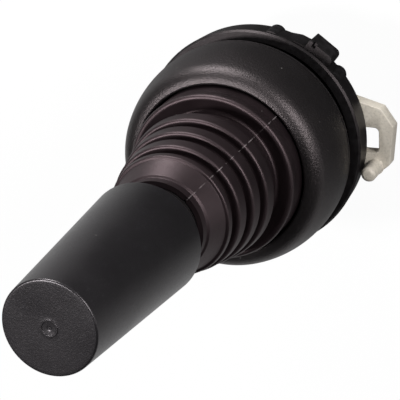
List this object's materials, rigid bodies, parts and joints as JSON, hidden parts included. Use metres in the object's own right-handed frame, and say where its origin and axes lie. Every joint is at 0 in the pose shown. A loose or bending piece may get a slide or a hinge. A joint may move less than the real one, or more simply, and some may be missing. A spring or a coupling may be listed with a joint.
{
  "type": "industrial joystick",
  "caption": "Panel-mounted control joystick: tapered black knob on a gimballed lever, ribbed rubber boot, round bezel, and a clamp ring and locking ring behind the panel.",
  "frame": {"origin": "on the lever's axis, in the plane where the gasket meets the front of the panel", "axes": "+Z along the lever towards the knob, -Y towards the clamp ring's index tab, +X to the right when the knob is seen with the tab below"},
  "size_m": [0.0489, 0.0492, 0.124],
  "materials": {
    "knob_plastic": "satin",
    "grained_plastic": "fine grain",
    "black_plastic": "moulded",
    "grey_plastic": "moulded",
    "cream_plastic": "moulded",
    "boot_rubber": "soft matt",
    "seal_rubber": "matt",
    "steel": "zinc plated",
    "spring_steel": "drawn wire",
    "brass": "machined"
  },
  "bodies": {
    "root": {"bezel": "grained_plastic", "gasket": "seal_rubber", "housing": "black_plastic", "bezel_screws": "steel", "retaining_plate": "grey_plastic", "retaining_screws": "steel", "boot_lower": "boot_rubber", "plunger_guide": "grey_plastic", "spring_block": "black_plastic", "rear_cover": "black_plastic", "cover_screws": "steel", "clamp_ring": "black_plastic"},
    "gimbal": {"gimbal_ring": "grey_plastic", "gimbal_pins": "steel"},
    "lever": {"knob": "knob_plastic", "knob_insert": "brass", "lock_nut": "steel", "lever_shaft": "steel", "stem_sleeve": "black_plastic", "pivot_hub": "grey_plastic", "pivot_pin": "steel", "actuator_plate": "grey_plastic", "plate_screw": "steel", "boot_upper": "boot_rubber"},
    "lock": {"locking_ring": "cream_plastic"},
    "plunger_east": {"plunger_east": "cream_plastic", "spring_east": "spring_steel"},
    "plunger_north": {"plunger_north": "cream_plastic", "spring_north": "spring_steel"},
    "plunger_west": {"plunger_west": "cream_plastic", "spring_west": "spring_steel"},
    "plunger_south": {"plunger_south": "cream_plastic", "spring_south": "spring_steel"}
  },
  "joints": [
    {"name": "tilt_x", "type": "hinge", "parent": "root", "child": "gimbal", "pos_m": [0, 0, 0.0085], "axis": [1, 0, 0], "range_deg": [-12, 12], "stiffness_Nm_per_rad": 0.6, "deforming": ["boot_lower"]},
    {"name": "tilt_y", "type": "hinge", "parent": "gimbal", "child": "lever", "pos_m": [0, 0, 0.0085], "axis": [0, 1, 0], "range_deg": [-12, 12], "stiffness_Nm_per_rad": 0.6, "deforming": ["boot_upper"]},
    {"name": "lock_turn", "type": "hinge", "parent": "root", "child": "lock", "pos_m": [0, 0, -0.0104], "axis": [0, 0, 1], "range_deg": [0, 35]},
    {"name": "press_east", "type": "slide", "parent": "root", "child": "plunger_east", "axis": [0, 0, 1], "range_m": [-0.00114, 0.00114], "deforming": ["spring_east"]},
    {"name": "press_north", "type": "slide", "parent": "root", "child": "plunger_north", "axis": [0, 0, 1], "range_m": [-0.00114, 0.00114], "deforming": ["spring_north"]},
    {"name": "press_west", "type": "slide", "parent": "root", "child": "plunger_west", "axis": [0, 0, 1], "range_m": [-0.00114, 0.00114], "deforming": ["spring_west"]},
    {"name": "press_south", "type": "slide", "parent": "root", "child": "plunger_south", "axis": [0, 0, 1], "range_m": [-0.00114, 0.00114], "deforming": ["spring_south"]}
  ],
  "couplings": [
    {"joint": "press_east", "follows": "tilt_y", "m_per_rad": -0.0054},
    {"joint": "press_west", "follows": "tilt_y", "m_per_rad": 0.0054},
    {"joint": "press_north", "follows": "tilt_x", "m_per_rad": 0.0054},
    {"joint": "press_south", "follows": "tilt_x", "m_per_rad": -0.0054}
  ]
}
